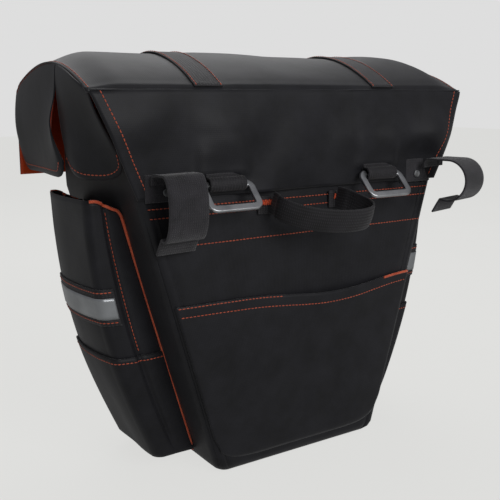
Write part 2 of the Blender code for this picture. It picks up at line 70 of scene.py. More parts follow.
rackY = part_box("base_panel")[0].y                 # rack side of the bag
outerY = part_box("base_panel")[1].y                # road side of the bag
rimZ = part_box("side_panel_left")[1].z             # top edge of the side walls
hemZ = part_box("lid_rear_panel")[0].z              # lower edge of the lid's rear drape
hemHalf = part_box("side_panel_right")[1].x         # half width of the bag at the hem
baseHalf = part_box("base_panel")[1].x              # half width at the base
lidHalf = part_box("lid_top")[1].x
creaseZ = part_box("lid_rear_panel")[1].z
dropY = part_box("lid_outer_drop")[1].y
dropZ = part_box("lid_outer_drop")[0].z
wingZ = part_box("lid_wing_left")[0].z
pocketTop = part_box("pocket_face_left")[1].z
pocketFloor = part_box("pocket_floor_left")[0].z
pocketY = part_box("pocket_face_left")[1].y
bagMiddle = Vector((0, 0, 0.18))
sides = (("left", -1), ("right", 1))


def mix(a, b, share):
    return a + (b - a) * share


def ease(value, low, high):
    share = min(max((value - low) / (high - low), 0), 1)
    return share * share * (3 - 2 * share)


def bump(value, centre, spread):
    return math.exp(-((value - centre) / spread) ** 2)


def ripple(a, b, seed):
    return noise.noise(Vector((a, b, seed)))


# materials

def hexLinear(code):
    channels = [int(code[i:i + 2], 16) / 255 for i in (0, 2, 4)]
    return tuple(c / 12.92 if c <= 0.04045 else ((c + 0.055) / 1.055) ** 2.4 for c in channels) + (1,)


def addNode(tree, kind, settings=None, links=None):
    node = tree.nodes.new(kind)
    for name, value in (settings or {}).items():
        if isinstance(name, int) or name in node.inputs.keys():
            node.inputs[name].default_value = value
        else:
            setattr(node, name, value)
    for name, source in (links or {}).items():
        tree.links.new(source, node.inputs[name])
    return node


def newMaterial(name, settings):
    material = bpy.data.materials.new(name)
    material.use_nodes = True
    tree = material.node_tree
    shader = tree.nodes["Principled BSDF"]
    for socket, value in settings.items():
        shader.inputs[socket].default_value = value
    return material, tree, shader, addNode(tree, "ShaderNodeTexCoord").outputs


def colourFrom(tree, shader, source, stops):
    node = addNode(tree, "ShaderNodeValToRGB", links={"Fac": source})
    ramp = node.color_ramp
    for i, (place, code) in enumerate(stops):
        stop = ramp.elements[i] if i < 2 else ramp.elements.new(place)
        stop.position = place
        stop.color = hexLinear(code)
    tree.links.new(node.outputs["Color"], shader.inputs["Base Color"])


def roughnessFrom(tree, shader, source, low, high):
    node = addNode(tree, "ShaderNodeMapRange", {"To Min": low, "To Max": high}, {"Value": source})
    tree.links.new(node.outputs["Result"], shader.inputs["Roughness"])


def bumpChain(tree, shader, layers):
    # each layer is (height, distance in metres, strength), the last one on top
    normal = None
    for height, distance, strength in layers:
        links = {"Height": height}
        if normal:
            links["Normal"] = normal
        node = addNode(tree, "ShaderNodeBump", {"Distance": distance, "Strength": strength}, links)
        normal = node.outputs["Normal"]
    tree.links.new(normal, shader.inputs["Normal"])


def waveScale(period):
    return 2 * math.pi / (20 * period)                # Scale of a Wave texture for a period in metres


def weave(tree, coordinates, period):
    # two crossed thread directions, as a height between 0 and 1
    threads = []
    for direction in ("X", "Y"):
        threads.append(addNode(tree, "ShaderNodeTexWave", {
            "bands_direction": direction, "wave_profile": "SIN", "Scale": waveScale(period),
            "Distortion": 0.6, "Detail": 1.0, "Detail Scale": 0.5}, {"Vector": coordinates}))
    both = addNode(tree, "ShaderNodeMath", {"operation": "MULTIPLY"},
                   {0: threads[0].outputs["Fac"], 1: threads[1].outputs["Fac"]})
    return both.outputs[0]


def coatedPolyester(name, dark, light, roughness, sheen):
    # woven polyester with a matt coating: soft dull highlight, faint grid of threads, mottled tone
    material, tree, shader, place = newMaterial(name, {
        "Roughness": roughness, "IOR": 1.5, "Sheen Weight": sheen, "Sheen Roughness": 0.45,
        "Specular IOR Level": 0.32})
    cloth = weave(tree, place["UV"], 0.0017)     # threads are 0.6 mm apart, drawn coarser to show
    dents = addNode(tree, "ShaderNodeTexNoise", {"Scale": 16.0, "Detail": 3.0, "Roughness": 0.5},
                    {"Vector": place["Object"]})
    mottle = addNode(tree, "ShaderNodeTexNoise", {"Scale": 42.0, "Detail": 6.0, "Roughness": 0.62},
                     {"Vector": place["Object"]})
    blend = addNode(tree, "ShaderNodeMath", {"operation": "MULTIPLY_ADD", 1: 0.10},
                    {0: cloth, 2: mottle.outputs["Fac"]})
    colourFrom(tree, shader, blend.outputs[0], ((0.28, dark), (0.72, light)))
    bumpChain(tree, shader, ((dents.outputs["Fac"], 0.0020, 0.35),
                             (mottle.outputs["Fac"], 0.0006, 0.25),
                             (cloth, 0.0002, 0.22)))
    return material


def webbingWeave(name, dark, light):
    # polyester webbing: close ribs across the strap, chevrons along it, dry and nearly matt
    material, tree, shader, place = newMaterial(name, {
        "Roughness": 0.62, "IOR": 1.5, "Sheen Weight": 0.15, "Sheen Roughness": 0.4})
    ribs = addNode(tree, "ShaderNodeTexWave", {
        "bands_direction": "Y", "Scale": waveScale(0.0016), "Distortion": 0.8,
        "Detail": 1.0, "Detail Scale": 1.0}, {"Vector": place["UV"]})
    cords = addNode(tree, "ShaderNodeTexWave", {
        "bands_direction": "X", "Scale": waveScale(0.0028)}, {"Vector": place["UV"]})
    height = addNode(tree, "ShaderNodeMath", {"operation": "MULTIPLY"},
                     {0: ribs.outputs["Fac"], 1: cords.outputs["Fac"]})
    wear = addNode(tree, "ShaderNodeTexNoise", {"Scale": 60.0, "Detail": 4.0}, {"Vector": place["Object"]})
    shade = addNode(tree, "ShaderNodeMath", {"operation": "MULTIPLY_ADD", 1: 0.5},
                    {0: height.outputs[0], 2: wear.outputs["Fac"]})
    colourFrom(tree, shader, shade.outputs[0], ((0.3, dark), (0.95, light)))
    bumpChain(tree, shader, ((wear.outputs["Fac"], 0.0005, 0.3), (height.outputs[0], 0.0004, 0.8)))
    return material


def loopTape(name):
    # hook-and-loop tape: a dense brushed pile, matt and grey where it catches light
    material, tree, shader, place = newMaterial(name, {
        "Roughness": 0.85, "IOR": 1.45, "Sheen Weight": 0.3, "Sheen Roughness": 0.5})
    pile = addNode(tree, "ShaderNodeTexNoise", {"Scale": 700.0, "Detail": 5.0, "Roughness": 0.7},
                   {"Vector": place["Object"]})
    brushed = addNode(tree, "ShaderNodeTexNoise", {"Scale": 55.0, "Detail": 3.0, "Distortion": 0.4},
                      {"Vector": place["Object"]})
    rows = weave(tree, place["UV"], 0.0021)
    tone = addNode(tree, "ShaderNodeMath", {"operation": "MULTIPLY_ADD", 1: 0.5},
                   {0: pile.outputs["Fac"], 2: brushed.outputs["Fac"]})
    colourFrom(tree, shader, tone.outputs[0], ((0.45, "1a191c"), (1.0, "37353a")))
    bumpChain(tree, shader, ((rows, 0.0004, 0.5), (pile.outputs["Fac"], 0.0006, 0.9)))
    return material


def sewingThread(name, dark, light, sheen):
    # bonded polyester thread: bright twisted strands with a slight gloss
    material, tree, shader, place = newMaterial(name, {
        "Roughness": 0.45, "IOR": 1.52, "Sheen Weight": sheen})
    tone = addNode(tree, "ShaderNodeTexNoise", {"Scale": 160.0, "Detail": 3.0}, {"Vector": place["Object"]})
    twist = addNode(tree, "ShaderNodeTexWave", {
        "bands_direction": "DIAGONAL", "Scale": waveScale(0.0009)}, {"Vector": place["Object"]})
    colourFrom(tree, shader, tone.outputs["Fac"], ((0.3, dark), (0.7, light)))
    bumpChain(tree, shader, ((tone.outputs["Fac"], 0.0003, 0.3), (twist.outputs["Fac"], 0.0002, 0.7)))
    return material


def zincSteel(name):
    # zinc-plated steel wire, tumbled: satin grey metal with fine scuffs and dull patches
    material, tree, shader, place = newMaterial(name, {"Metallic": 1.0, "Roughness": 0.34})
    patches = addNode(tree, "ShaderNodeTexNoise", {"Scale": 70.0, "Detail": 5.0},
                      {"Vector": place["Object"]})
    scuffs = addNode(tree, "ShaderNodeTexNoise", {"Scale": 420.0, "Detail": 3.0, "Distortion": 1.5},
                     {"Vector": place["Object"]})
    colourFrom(tree, shader, patches.outputs["Fac"], ((0.3, "b2b4b7"), (0.7, "d2d4d6")))
    roughnessFrom(tree, shader, patches.outputs["Fac"], 0.26, 0.46)
    bumpChain(tree, shader, ((scuffs.outputs["Fac"], 0.0001, 0.35),))
    return material


def mouldedAcetal(name):
    # injection-moulded acetal: black, slightly waxy, with a fine spark texture
    material, tree, shader, place = newMaterial(name, {"Roughness": 0.38, "IOR": 1.48})
    spark = addNode(tree, "ShaderNodeTexNoise", {"Scale": 900.0, "Detail": 2.0},
                    {"Vector": place["Object"]})
    handling = addNode(tree, "ShaderNodeTexNoise", {"Scale": 45.0, "Detail": 4.0},
                       {"Vector": place["Object"]})
    colourFrom(tree, shader, handling.outputs["Fac"], ((0.35, "111113"), (0.7, "1c1c1f")))
    roughnessFrom(tree, shader, handling.outputs["Fac"], 0.30, 0.48)
    bumpChain(tree, shader, ((spark.outputs["Fac"], 0.0002, 0.25),))
    return material


def reflectiveTape(name):
    # glass-bead reflective tape: pale grey, dull metal look, fine honeycomb cells
    material, tree, shader, place = newMaterial(name, {
        "Roughness": 0.36, "Metallic": 0.55, "Coat Weight": 0.35, "Coat Roughness": 0.25})
    cells = addNode(tree, "ShaderNodeTexVoronoi", {"feature": "DISTANCE_TO_EDGE", "Scale": 330.0},
                    {"Vector": place["UV"]})      # cells 3 mm across
    haze = addNode(tree, "ShaderNodeTexNoise", {"Scale": 35.0, "Detail": 4.0}, {"Vector": place["Object"]})
    colourFrom(tree, shader, haze.outputs["Fac"], ((0.3, "909396"), (0.7, "b0b3b6")))
    bumpChain(tree, shader, ((haze.outputs["Fac"], 0.0005, 0.3), (cells.outputs["Distance"], 0.0003, 0.35)))
    return material


def stiffenerBoard(name):
    # extruded polyethylene board: black, faintly ribbed and greasy-smooth
    material, tree, shader, place = newMaterial(name, {"Roughness": 0.5, "IOR": 1.51})
    flutes = addNode(tree, "ShaderNodeTexWave", {
        "bands_direction": "X", "Scale": waveScale(0.004)}, {"Vector": place["Object"]})
    scuffs = addNode(tree, "ShaderNodeTexNoise", {"Scale": 30.0, "Detail": 6.0},
                     {"Vector": place["Object"]})
    colourFrom(tree, shader, scuffs.outputs["Fac"], ((0.35, "161617"), (0.7, "242426")))
    bumpChain(tree, shader, ((scuffs.outputs["Fac"], 0.0004, 0.2), (flutes.outputs["Fac"], 0.0003, 0.4)))
    return material


fabric = coatedPolyester("coated polyester", "131316", "222227", 0.50, 0.12)
bootFabric = coatedPolyester("coated polyester boot", "111114", "1f1f24", 0.56, 0.12)
lining = coatedPolyester("orange nylon lining", "c23a10", "e2521e", 0.5, 0.3)
darkLining = coatedPolyester("black nylon lining", "101012", "1b1b1e", 0.6, 0.2)
webbing = webbingWeave("black polyester webbing", "151416", "2c2a2f")
gripTape = loopTape("hook-and-loop tape")
thread = sewingThread("orange bonded thread", "b5472a", "d9623c", 0.2)
tackThread = sewingThread("orange tack thread", "cf3f12", "f0602a", 0.2)
piping = sewingThread("orange piping", "c94a22", "e8663a", 0.3)
steel = zincSteel("zinc-plated steel")
acetal = mouldedAcetal("moulded acetal")
reflective = reflectiveTape("reflective tape")
board = stiffenerBoard("polyethylene board")
print("materials ready")


# sheets, bands and stitches

def giveMaterials(piece, *materials):
    piece.data.materials.clear()
    for material in materials:
        piece.data.materials.append(material)


def turnOut(piece, middle):
    mesh = piece.data
    total = sum((face.normal.dot(face.center - middle) * face.area for face in mesh.polygons))
    if total < 0:
        mesh.flip_normals()


def applyModifiers(piece):
    bpy.context.view_layer.objects.active = piece
    for modifier in list(piece.modifiers):
        bpy.ops.object.modifier_apply(modifier=modifier.name)


def editAll():
    bpy.ops.object.mode_set(mode="EDIT")
    bpy.ops.mesh.select_all(action="SELECT")


def clothSheet(name, across, along, place, flat, middle=bagMiddle, closed=False):
    bpy.ops.object.select_all(action="DESELECT")
    bpy.ops.mesh.primitive_grid_add(x_subdivisions=across, y_subdivisions=along, size=2)
    piece = bpy.context.object
    piece.name = name
    mesh = piece.data
    mesh.name = name
    uvs = mesh.uv_layers.active.data
    for loop in mesh.loops:
        spot = mesh.vertices[loop.vertex_index].co
        uvs[loop.index].uv = ((spot.x + 1) / 2 * flat[0], (spot.y + 1) / 2 * flat[1])
    for vertex in mesh.vertices:
        vertex.co = place((vertex.co.x + 1) / 2, (vertex.co.y + 1) / 2)
    mesh.update()
    if closed:
        editAll()
        bpy.ops.mesh.remove_doubles(threshold=0.00005)
        bpy.ops.object.mode_set(mode="OBJECT")
    turnOut(piece, middle)
    bpy.ops.object.shade_smooth()
    return piece


def thicken(piece, thickness, offset=-1, inner=0):
    wall = piece.modifiers.new("wall", "SOLIDIFY")
    wall.thickness = thickness
    wall.offset = offset
    wall.use_even_offset = False
    wall.material_offset = inner
    applyModifiers(piece)


def finishSheet(piece, outside, inside, wall, body):
    giveMaterials(piece, outside, inside)
    thicken(piece, wall, inner=1)
    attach(piece, body)


def surfaceAt(place, u, v, middle):
    step = 0.002
    point = place(u, v)
    a = place(min(u + step, 1), v) - place(max(u - step, 0), v)
    b = place(u, min(v + step, 1)) - place(u, max(v - step, 0))
    normal = a.cross(b).normalized()
    if normal.dot(point - middle) < 0:
        normal = -normal
    return point, normal


def evenPath(points, spacing):
    # points spaced evenly along a polyline of (point, normal)
    lengths = [0]
    for i in range(1, len(points)):
        lengths.append(lengths[-1] + (points[i][0] - points[i - 1][0]).length)
    count = max(int(lengths[-1] / spacing), 1)
    result = []
    i = 1
    for k in range(count + 1):
        want = lengths[-1] * k / count
        while i < len(points) - 1 and lengths[i] < want:
            i += 1
        share = (want - lengths[i - 1]) / max(lengths[i] - lengths[i - 1], 1e-9)
        result.append((points[i - 1][0].lerp(points[i][0], share),
                       points[i - 1][1].lerp(points[i][1], share).normalized()))
    return result


def stitchTemplate():
    bpy.ops.object.select_all(action="DESELECT")
    bpy.ops.mesh.primitive_uv_sphere_add(segments=6, ring_count=4, radius=0.5)
    piece = bpy.context.object
    verts = [vertex.co.copy() for vertex in piece.data.vertices]
    faces = [tuple(face.vertices) for face in piece.data.polygons]
    bpy.data.objects.remove(piece)
    return verts, faces


stitchShape = stitchTemplate()
stitchSettings = {"pitch": 0.0036, "length": 0.0031, "width": 0.0011, "height": 0.0007}


def stitches(name, runs, material=None, settings=stitchSettings):
    # each run is (place, list of (u, v) corners, middle); a stitch lies half sunk in the cloth
    verts, faces = [], []
    for place, corners, middle in runs:
        dense = []
        for (u1, v1), (u2, v2) in zip(corners, corners[1:]):
            for k in range(121):
                share = k / 120
                dense.append(surfaceAt(place, mix(u1, u2, share), mix(v1, v2, share), middle))
        spots = evenPath(dense, settings["pitch"])
        for (a, normalA), (b, normalB) in zip(spots, spots[1:]):
            normal = (normalA + normalB).normalized()
            forward = (b - a).normalized()
            side = normal.cross(forward).normalized()
            centre = (a + b) / 2 + normal * settings["height"] * 0.25
            first = len(verts)
            for corner in stitchShape[0]:
                verts.append(centre + forward * corner.z * settings["length"]
                             + side * corner.x * settings["width"] + normal * corner.y * settings["height"])
            faces.extend(tuple(first + i for i in face) for face in stitchShape[1])
    mesh = bpy.data.meshes.new(name)
    mesh.from_pydata(verts, [], faces)
    piece = bpy.data.objects.new(name, mesh)
    bpy.context.scene.collection.objects.link(piece)
    for face in mesh.polygons:
        face.use_smooth = True
    giveMaterials(piece, material or thread)
    return piece


def tubeAlong(name, points, radius, material, rings=8, middle=bagMiddle):
    # a round cord sewn along a seam; points are (place, normal) pairs, its ends are closed
    spots = evenPath(points, radius * 1.6)
    last = len(spots) - 1
    frames = []
    for i, (point, normal) in enumerate(spots):
        forward = (spots[min(i + 1, last)][0] - spots[max(i - 1, 0)][0]).normalized()
        side = forward.cross(normal).normalized()
        frames.append((point, side, side.cross(forward).normalized()))

    def place(u, v):
        i = min(round(v * (last + 2)), last + 2) - 1
        tight = 0.0 if i < 0 or i > last else 1.0
        point, side, up = frames[min(max(i, 0), last)]
        angle = 2 * math.pi * u
        return point + (side * math.cos(angle) + up * math.sin(angle)) * radius * tight

    flat = (radius * 6.28, last * radius * 1.6)
    piece = clothSheet(name, rings, last + 2, place, flat, middle, closed=True)
    editAll()
    bpy.ops.mesh.normals_make_consistent(inside=False)
    bpy.ops.object.mode_set(mode="OBJECT")
    giveMaterials(piece, material)
    return piece


def band(name, path, widthAt, width, thickness, material, across=6, crown=0.0):
    # flat webbing along a path of points; widthAt gives the direction across the strap
    count = len(path) - 1
    lengths = sum((b - a).length for a, b in zip(path, path[1:]))

    def place(u, v):
        i = min(int(v * count + 1e-6), count - 1)
        share = v * count - i
        point = path[i].lerp(path[i + 1], share)
        direction = widthAt(i, share)
        offset = (u - 0.5) * width
        forward = (path[i + 1] - path[i]).normalized()
        up = direction.cross(forward).normalized()
        return point + direction * offset + up * crown * (1 - (2 * u - 1) ** 2)

    piece = clothSheet(name, across, count, place, (width, lengths))
    giveMaterials(piece, material)
    thicken(piece, thickness, offset=0)
    bevel = piece.modifiers.new("edge", "BEVEL")
    bevel.width = thickness * 0.3
    bevel.segments = 2
    bevel.limit_method = "ANGLE"
    bevel.angle_limit = math.radians(60)
    applyModifiers(piece)
    return piece


def flatStrap(name, path, width, thickness, material, body, node):
    # webbing whose width lies along X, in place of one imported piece
    piece = band(name, path, lambda i, share: Vector((1, 0, 0)), width, thickness, material)
    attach(piece, body)
    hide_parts(node)


def refined(node, bevelWidth, segments, material):
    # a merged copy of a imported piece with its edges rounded
    source = frame["nodes"][node]
    piece = source.copy()
    piece.data = source.data.copy()
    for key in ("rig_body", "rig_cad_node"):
        if key in piece:
            del piece[key]
    piece.parent = None
    piece.name = node + "_finished"
    bpy.context.scene.collection.objects.link(piece)
    bpy.ops.object.select_all(action="DESELECT")
    piece.select_set(True)
    bpy.context.view_layer.objects.active = piece
    editAll()
    bpy.ops.mesh.remove_doubles(threshold=0.00002)
    bpy.ops.mesh.dissolve_limited(angle_limit=math.radians(2))
    bpy.ops.object.mode_set(mode="OBJECT")
    edge = piece.modifiers.new("edge", "BEVEL")
    edge.width = bevelWidth
    edge.segments = segments
    edge.limit_method = "ANGLE"
    edge.angle_limit = math.radians(32)
    edge.use_clamp_overlap = True
    applyModifiers(piece)
    bpy.ops.object.shade_smooth_by_angle(angle=math.radians(35))
    giveMaterials(piece, material)
    return piece


# bag shell: one lofted tube of cloth that rounds under at the base

shellSettings = {"corner": 0.008, "wall": 0.0012, "sideBulge": 0.005, "outerBulge": 0.004}


def halfAt(z):
    return baseHalf + (hemHalf - baseHalf) * min(max(z, 0) / hemZ, 1)


def rackFace(x, z):
    # y of the rack side at a point: stiff panel with slight waves, stepping back under the drape
    y = rackY + 0.0032 * ease(z, hemZ - 0.008, hemZ + 0.004)
    edge = 1 - (min(abs(x) / halfAt(z), 1)) ** 4
    y -= 0.0012 * edge * math.sin(math.pi * min(max(z / hemZ, 0), 1))
    y += 0.0011 * edge * ripple(x * 14, z * 9, 3.1) + 0.0007 * edge * ripple(x * 34, z * 20, 8.2)
    y += 0.0004 * bump(z, 0.2172, 0.014) + 0.0006 * bump(z, 0.246, 0.005)    # pulled in along the sewn lines
    return y


cornerShares = [0, 0.03, 0.06, 0.09, 0.12, 0.1275, 0.1315, 0.1345, 0.142, 0.16]
middleShares = [0.19, 0.23, 0.28, 0.33, 0.38, 0.43, 0.48]
halfShares = cornerShares + middleShares
sideShares = halfShares + [1 - share for share in reversed(halfShares[1:])]
shellStations = [k + share for k in range(4) for share in sideShares] + [4.0]
shellLevels = ([(0.0010, 0.078), (0.0006, 0.055), (0.0003, 0.030), (0.0004, 0.012), (0.0016, 0.0045),
                (0.0045, 0.0014), (0.009, 0.0)] + [(0.015 + 0.0105 * k, 0.0) for k in range(31)])
shellLevels = [(min(z, rimZ), inset) for z, inset in shellLevels]


def shellPoint(station, z, inset):
    side = int(min(station, 3.9999))
    t = station - side
    radius = max(shellSettings["corner"] - inset * 0.1, 0.004)
    halves = (halfAt(z) - inset, outerY - inset)
    length, offset = halves if side % 2 == 0 else halves[::-1]
    sign = 1
    if t > 0.5:
        t, sign = 1 - t, -1
    if t < 0.12:
        angle = math.radians(45) * (1 - t / 0.12)
        a = -(length - radius) - radius * math.sin(angle)
        out = offset - radius + radius * math.cos(angle)
    else:
        a = mix(-(length - radius), 0, (t - 0.12) / 0.38)
        out = offset
    a *= sign
    level = min(max(z / hemZ, 0), 1)
    full = (1 - (a / length) ** 2)
    if side % 2 == 0 and inset < 0.002:
        out -= 0.0016 * bump(t, 0.1330, 0.0028)            # seam between the panel and the side
    if side == 2 and inset < 0.002:
        out += shellSettings["outerBulge"] * full * math.sin(math.pi * level) ** 0.7
        out += 0.0025 * full * ripple(a * 8, z * 7, 5.5)
    if side % 2 == 1 and inset < 0.002:
        out += shellSettings["sideBulge"] * full * math.sin(math.pi * level)
        out += 0.0022 * full * ripple(a * 16, z * 9, 9.1 + side)
    if side == 0:
        x, y = a, -out
        if t > 0.1 and inset < 0.002:
            y += rackFace(x, z) - rackY
    elif side == 1:
        x, y = out, a
    elif side == 2:
        x, y = -a, out
    else:
        x, y = -out, -a
    return Vector((x, y, z))


def shellPlace(u, v):
    station = shellStations[round(u * (len(shellStations) - 1))]
    z, inset = shellLevels[round(v * (len(shellLevels) - 1))]
    return shellPoint(station, z, inset)


bagShell = clothSheet("bag_shell", len(shellStations) - 1, len(shellLevels) - 1, shellPlace,
                      (0.99, 0.41), closed=True)
bpy.ops.object.mode_set(mode="EDIT")
bpy.ops.mesh.select_all(action="DESELECT")
bpy.ops.object.mode_set(mode="OBJECT")
for vertex in bagShell.data.vertices:
    vertex.select = abs(vertex.co.y) < 0.0085 and vertex.co.z < 0.006 and abs(vertex.co.x) < baseHalf - 0.06
bpy.ops.object.mode_set(mode="EDIT")
bpy.ops.mesh.edge_face_add()
bpy.ops.object.mode_set(mode="OBJECT")
finishSheet(bagShell, fabric, lining, shellSettings["wall"], "bag")
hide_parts("base_panel", "outer_panel", "side_panel_left", "side_panel_right", "rack_panel")


def rackPlace(u, v):
    x, z = mix(-0.18, 0.18, u), mix(0, 0.3, v)
    return Vector((x, rackFace(x, z), z))


def onRack(x, z):
    return ((x + 0.18) / 0.36, z / 0.3)


rackLines = []
for z, left, right in ((0.2505, 0.162, 0.162), (0.2425, 0.160, 0.160), (0.2172, 0.1535, 0.1535)):
    rackLines.append((rackPlace, [onRack(-left + 0.004, z), onRack(right - 0.004, z)], bagMiddle))
rackStitches = stitches("rack_panel_stitches", rackLines)
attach(rackStitches, "bag")
print("bag shell ready")

# rack pocket: a patch over the lower half with a mouth that sags open

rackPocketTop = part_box("rack_pocket_panel")[1].z
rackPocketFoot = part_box("rack_pocket_panel")[0].z
rackPocketSettings = {"wall": 0.0011, "sag": 0.0065, "gap": 0.0062, "sagCentre": 0.035, "sagWidth": 0.062,
                      "binding": 0.0013}


def rackPocketPlace(u, v):
    foot = rackPocketFoot
    share = 2 * u - 1
    x = share * (halfAt(mix(foot, rackPocketTop, v)) - 0.0040)
    sag = bump(x, rackPocketSettings["sagCentre"], rackPocketSettings["sagWidth"])
    edge = 1 - abs(share) ** 6
    z = mix(foot, rackPocketTop, v) - rackPocketSettings["sag"] * sag * edge * ease(v, 0.55, 1.0)
    z += 0.010 * abs(share) ** 8 * ease(0.2 - v, 0, 0.2)
    proud = 0.0016 + 0.0022 * edge * math.sin(math.pi * min(v, 1) * 0.9)
    proud += rackPocketSettings["gap"] * edge * sag * ease(v, 0.6, 1.0)
    proud += 0.0010 * edge * ripple(x * 13, z * 10, 1.7) + 0.0005 * edge * ripple(x * 40, z * 22, 4.0)
    proud -= 0.0006 * (bump(v, 0.985, 0.012) + bump(v, 0.935, 0.012)) * 0.6
    proud *= ease(v, -0.02, 0.04)
    return Vector((x, rackFace(x, z) - proud, z))


rackPocket = clothSheet("rack_pocket", 90, 54, rackPocketPlace, (0.27, 0.152))
finishSheet(rackPocket, fabric, darkLining, rackPocketSettings["wall"], "bag")
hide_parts("rack_pocket_panel")

pocketLines = [(rackPocketPlace, [(0.008, 0.990), (0.40, 0.990)], bagMiddle),
               (rackPocketPlace, [(0.010, 0.937), (0.5, 0.930), (0.990, 0.940)], bagMiddle)]
rackPocketStitches = stitches("rack_pocket_stitches", pocketLines)
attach(rackPocketStitches, "bag")
bindingSpots = [surfaceAt(rackPocketPlace, mix(0.865, 0.994, k / 20), 0.994, bagMiddle) for k in range(21)]
pocketBinding = tubeAlong("rack_pocket_binding", bindingSpots, rackPocketSettings["binding"], piping)
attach(pocketBinding, "bag")
print("rack pocket ready")

# lid: one sheet from the rear drape's hem over the crease and dome to the outer drop's hem

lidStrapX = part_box("lid_strap_right")[0].lerp(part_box("lid_strap_right")[1], 0.5).x
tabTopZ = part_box("hook_tab_right")[1].z
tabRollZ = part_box("hook_tab_right")[0].z + 0.0063
lidSettings = {"overTab": 0.0034, "wall": 0.0014, "rise": 0.030, "tilt": 0.004,
               "edgeFall": 0.009, "foldDepth": 0.0105, "seam": 0.0008}
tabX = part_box("hook_tab_right")[0].lerp(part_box("hook_tab_right")[1], 0.5).x
drapeHemHalf = 0.166                              # the drape narrows towards its hem
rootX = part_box("grip_strap_root_right")[0].lerp(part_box("grip_strap_root_right")[1], 0.5).x


def lidProfile():
    points = [(rackY - 0.0004, mix(hemZ, creaseZ - 0.003, k / 20)) for k in range(21)]
    depth = dropY - rackY - 0.0006
    for k in range(1, 46):
        share = (k / 46) ** 1.12
        rise = lidSettings["rise"] * math.sin(math.pi * share) ** 0.8
        points.append((rackY + 0.0015 + (depth - 0.003) * share,
                       creaseZ + lidSettings["tilt"] * share + rise))
    points += [(dropY - 0.0006, mix(creaseZ + lidSettings["tilt"] - 0.004, dropZ, k / 18)) for k in range(19)]
    for turn in range(2):
        points = ([points[0]] + [((a[0] + 2 * b[0] + c[0]) / 4, (a[1] + 2 * b[1] + c[1]) / 4)
                                 for a, b, c in zip(points, points[1:], points[2:])] + [points[-1]])
    return points


def evenProfile(points, count):
    lengths = [0]
    for a, b in zip(points, points[1:]):
        lengths.append(lengths[-1] + math.dist(a, b))
    result = []
    i = 1
    for k in range(count + 1):
        want = lengths[-1] * k / count
        while i < len(points) - 1 and lengths[i] < want:
            i += 1
        share = (want - lengths[i - 1]) / (lengths[i] - lengths[i - 1])
        result.append((mix(points[i - 1][0], points[i][0], share),
                       mix(points[i - 1][1], points[i][1], share)))
    return result, lengths[-1]


lidSteps = 128
lidPath, lidLength = evenProfile(lidProfile(), lidSteps)
creaseShare = (creaseZ - hemZ) / lidLength
dropShare = 1 - (creaseZ - dropZ) / lidLength


def lidPathAt(v):
    i = min(int(v * lidSteps), lidSteps - 1)
    share = v * lidSteps - i
    (y1, z1), (y2, z2) = lidPath[i], lidPath[i + 1]
    length = math.hypot(y2 - y1, z2 - z1)
    return mix(y1, y2, share), mix(z1, z2, share), (y2 - y1) / length, (z2 - z1) / length


def lidPlace(u, v):
    share = 2 * u - 1
    y, z, ty, tz = lidPathAt(v)
    down = max(creaseShare - v, 0) / creaseShare              # 0 at the crease, 1 at the drape's hem
    half = mix(lidHalf, drapeHemHalf, down)
    x = share * half
    out = 0.0
    if down > 0:
        clear = 1 - bump(abs(x), tabX, 0.030) * ease(down, 0.45, 0.75)
        clear *= 1 - 0.9 * bump(abs(x), rootX, 0.030) * ease(down, 0.45, 0.75)
        depth = lidSettings["foldDepth"] * ease(down, 0.02, 0.55)
        fold = ripple(x * 10.5 + down * 0.5, down * 1.1, 2.4) + 0.55 * ripple(x * 24, down * 1.6, 6.6)
        lift = 0.25 + fold
        out += depth * (lift + math.sqrt(lift * lift + 0.05)) / 2 * clear    # folds only stand out
        overTab = ease(0.030 - abs(abs(x) - tabX), 0, 0.012)      # over the sewn end of the tabs
        aboveRoll = ease(z, tabRollZ + 0.004, tabRollZ + 0.009)
        out += lidSettings["overTab"] * overTab * aboveRoll * ease(-z, -tabTopZ - 0.022, -tabTopZ)
        out += 0.0012 * ripple(x * 30, z * 30, 7.7) * (1 - down)
        out += 0.0010 * bump(down, 0.03, 0.03)                # ridge of the crease seam
        out *= 1 - 0.5 * abs(share) ** 8
    elif v < dropShare:
        across = (v - creaseShare) / (dropShare - creaseShare)
        crown = math.sin(math.pi * across) ** 0.7
        out += 0.0045 * crown * ripple(x * 6.5, y * 9, 1.3) + 0.0016 * crown * ripple(x * 17, y * 20, 5.8)
        out -= lidSettings["edgeFall"] * (0.35 + 0.65 * crown) * ease(abs(x), lidHalf - 0.034, lidHalf) ** 1.4
        out += 0.0009 * bump(v, creaseShare + 0.010, 0.008)
        for strapX in (-lidStrapX, lidStrapX):
            out -= 0.0006 * bump(x, strapX, 0.018) * ease(across, 0.0, 0.04)
    else:
        low = (v - dropShare) / (1 - dropShare)
        edge = 1 - abs(share) ** 10
        clear = 1 - 0.8 * bump(abs(x), lidStrapX, 0.028)
        out += 0.0030 * low * ripple(x * 9, low * 1.2, 12.4) * edge * clear - 0.0008 * low
        out -= 0.0020 * ease(abs(x), lidHalf - 0.02, lidHalf) * (1 - low)
    return Vector((x, y - tz * out, z + ty * out))


lidCloth = clothSheet("lid_cloth", 124, lidSteps, lidPlace, (2 * lidHalf, lidLength))
giveMaterials(lidCloth, fabric, lining)
thicken(lidCloth, lidSettings["wall"], inner=1)
lidMiddle = Vector((0, 0, 0.28))
creaseSpots = []
for k in range(91):
    point, normal = surfaceAt(lidPlace, mix(0.004, 0.996, k / 90), creaseShare - 0.002, lidMiddle)
    creaseSpots.append((point - normal * 0.0003, normal))
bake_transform(lidCloth)
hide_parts("lid_rear_panel", "lid_top", "lid_outer_drop")
creaseSeam = tubeAlong("lid_crease_seam", creaseSpots, lidSettings["seam"], fabric)
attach(creaseSeam, "bag")

wingRear = rackY + 0.0036
wingFront = dropY - 0.0030
wingSettings = {"corner": 0.028, "wall": 0.0012}


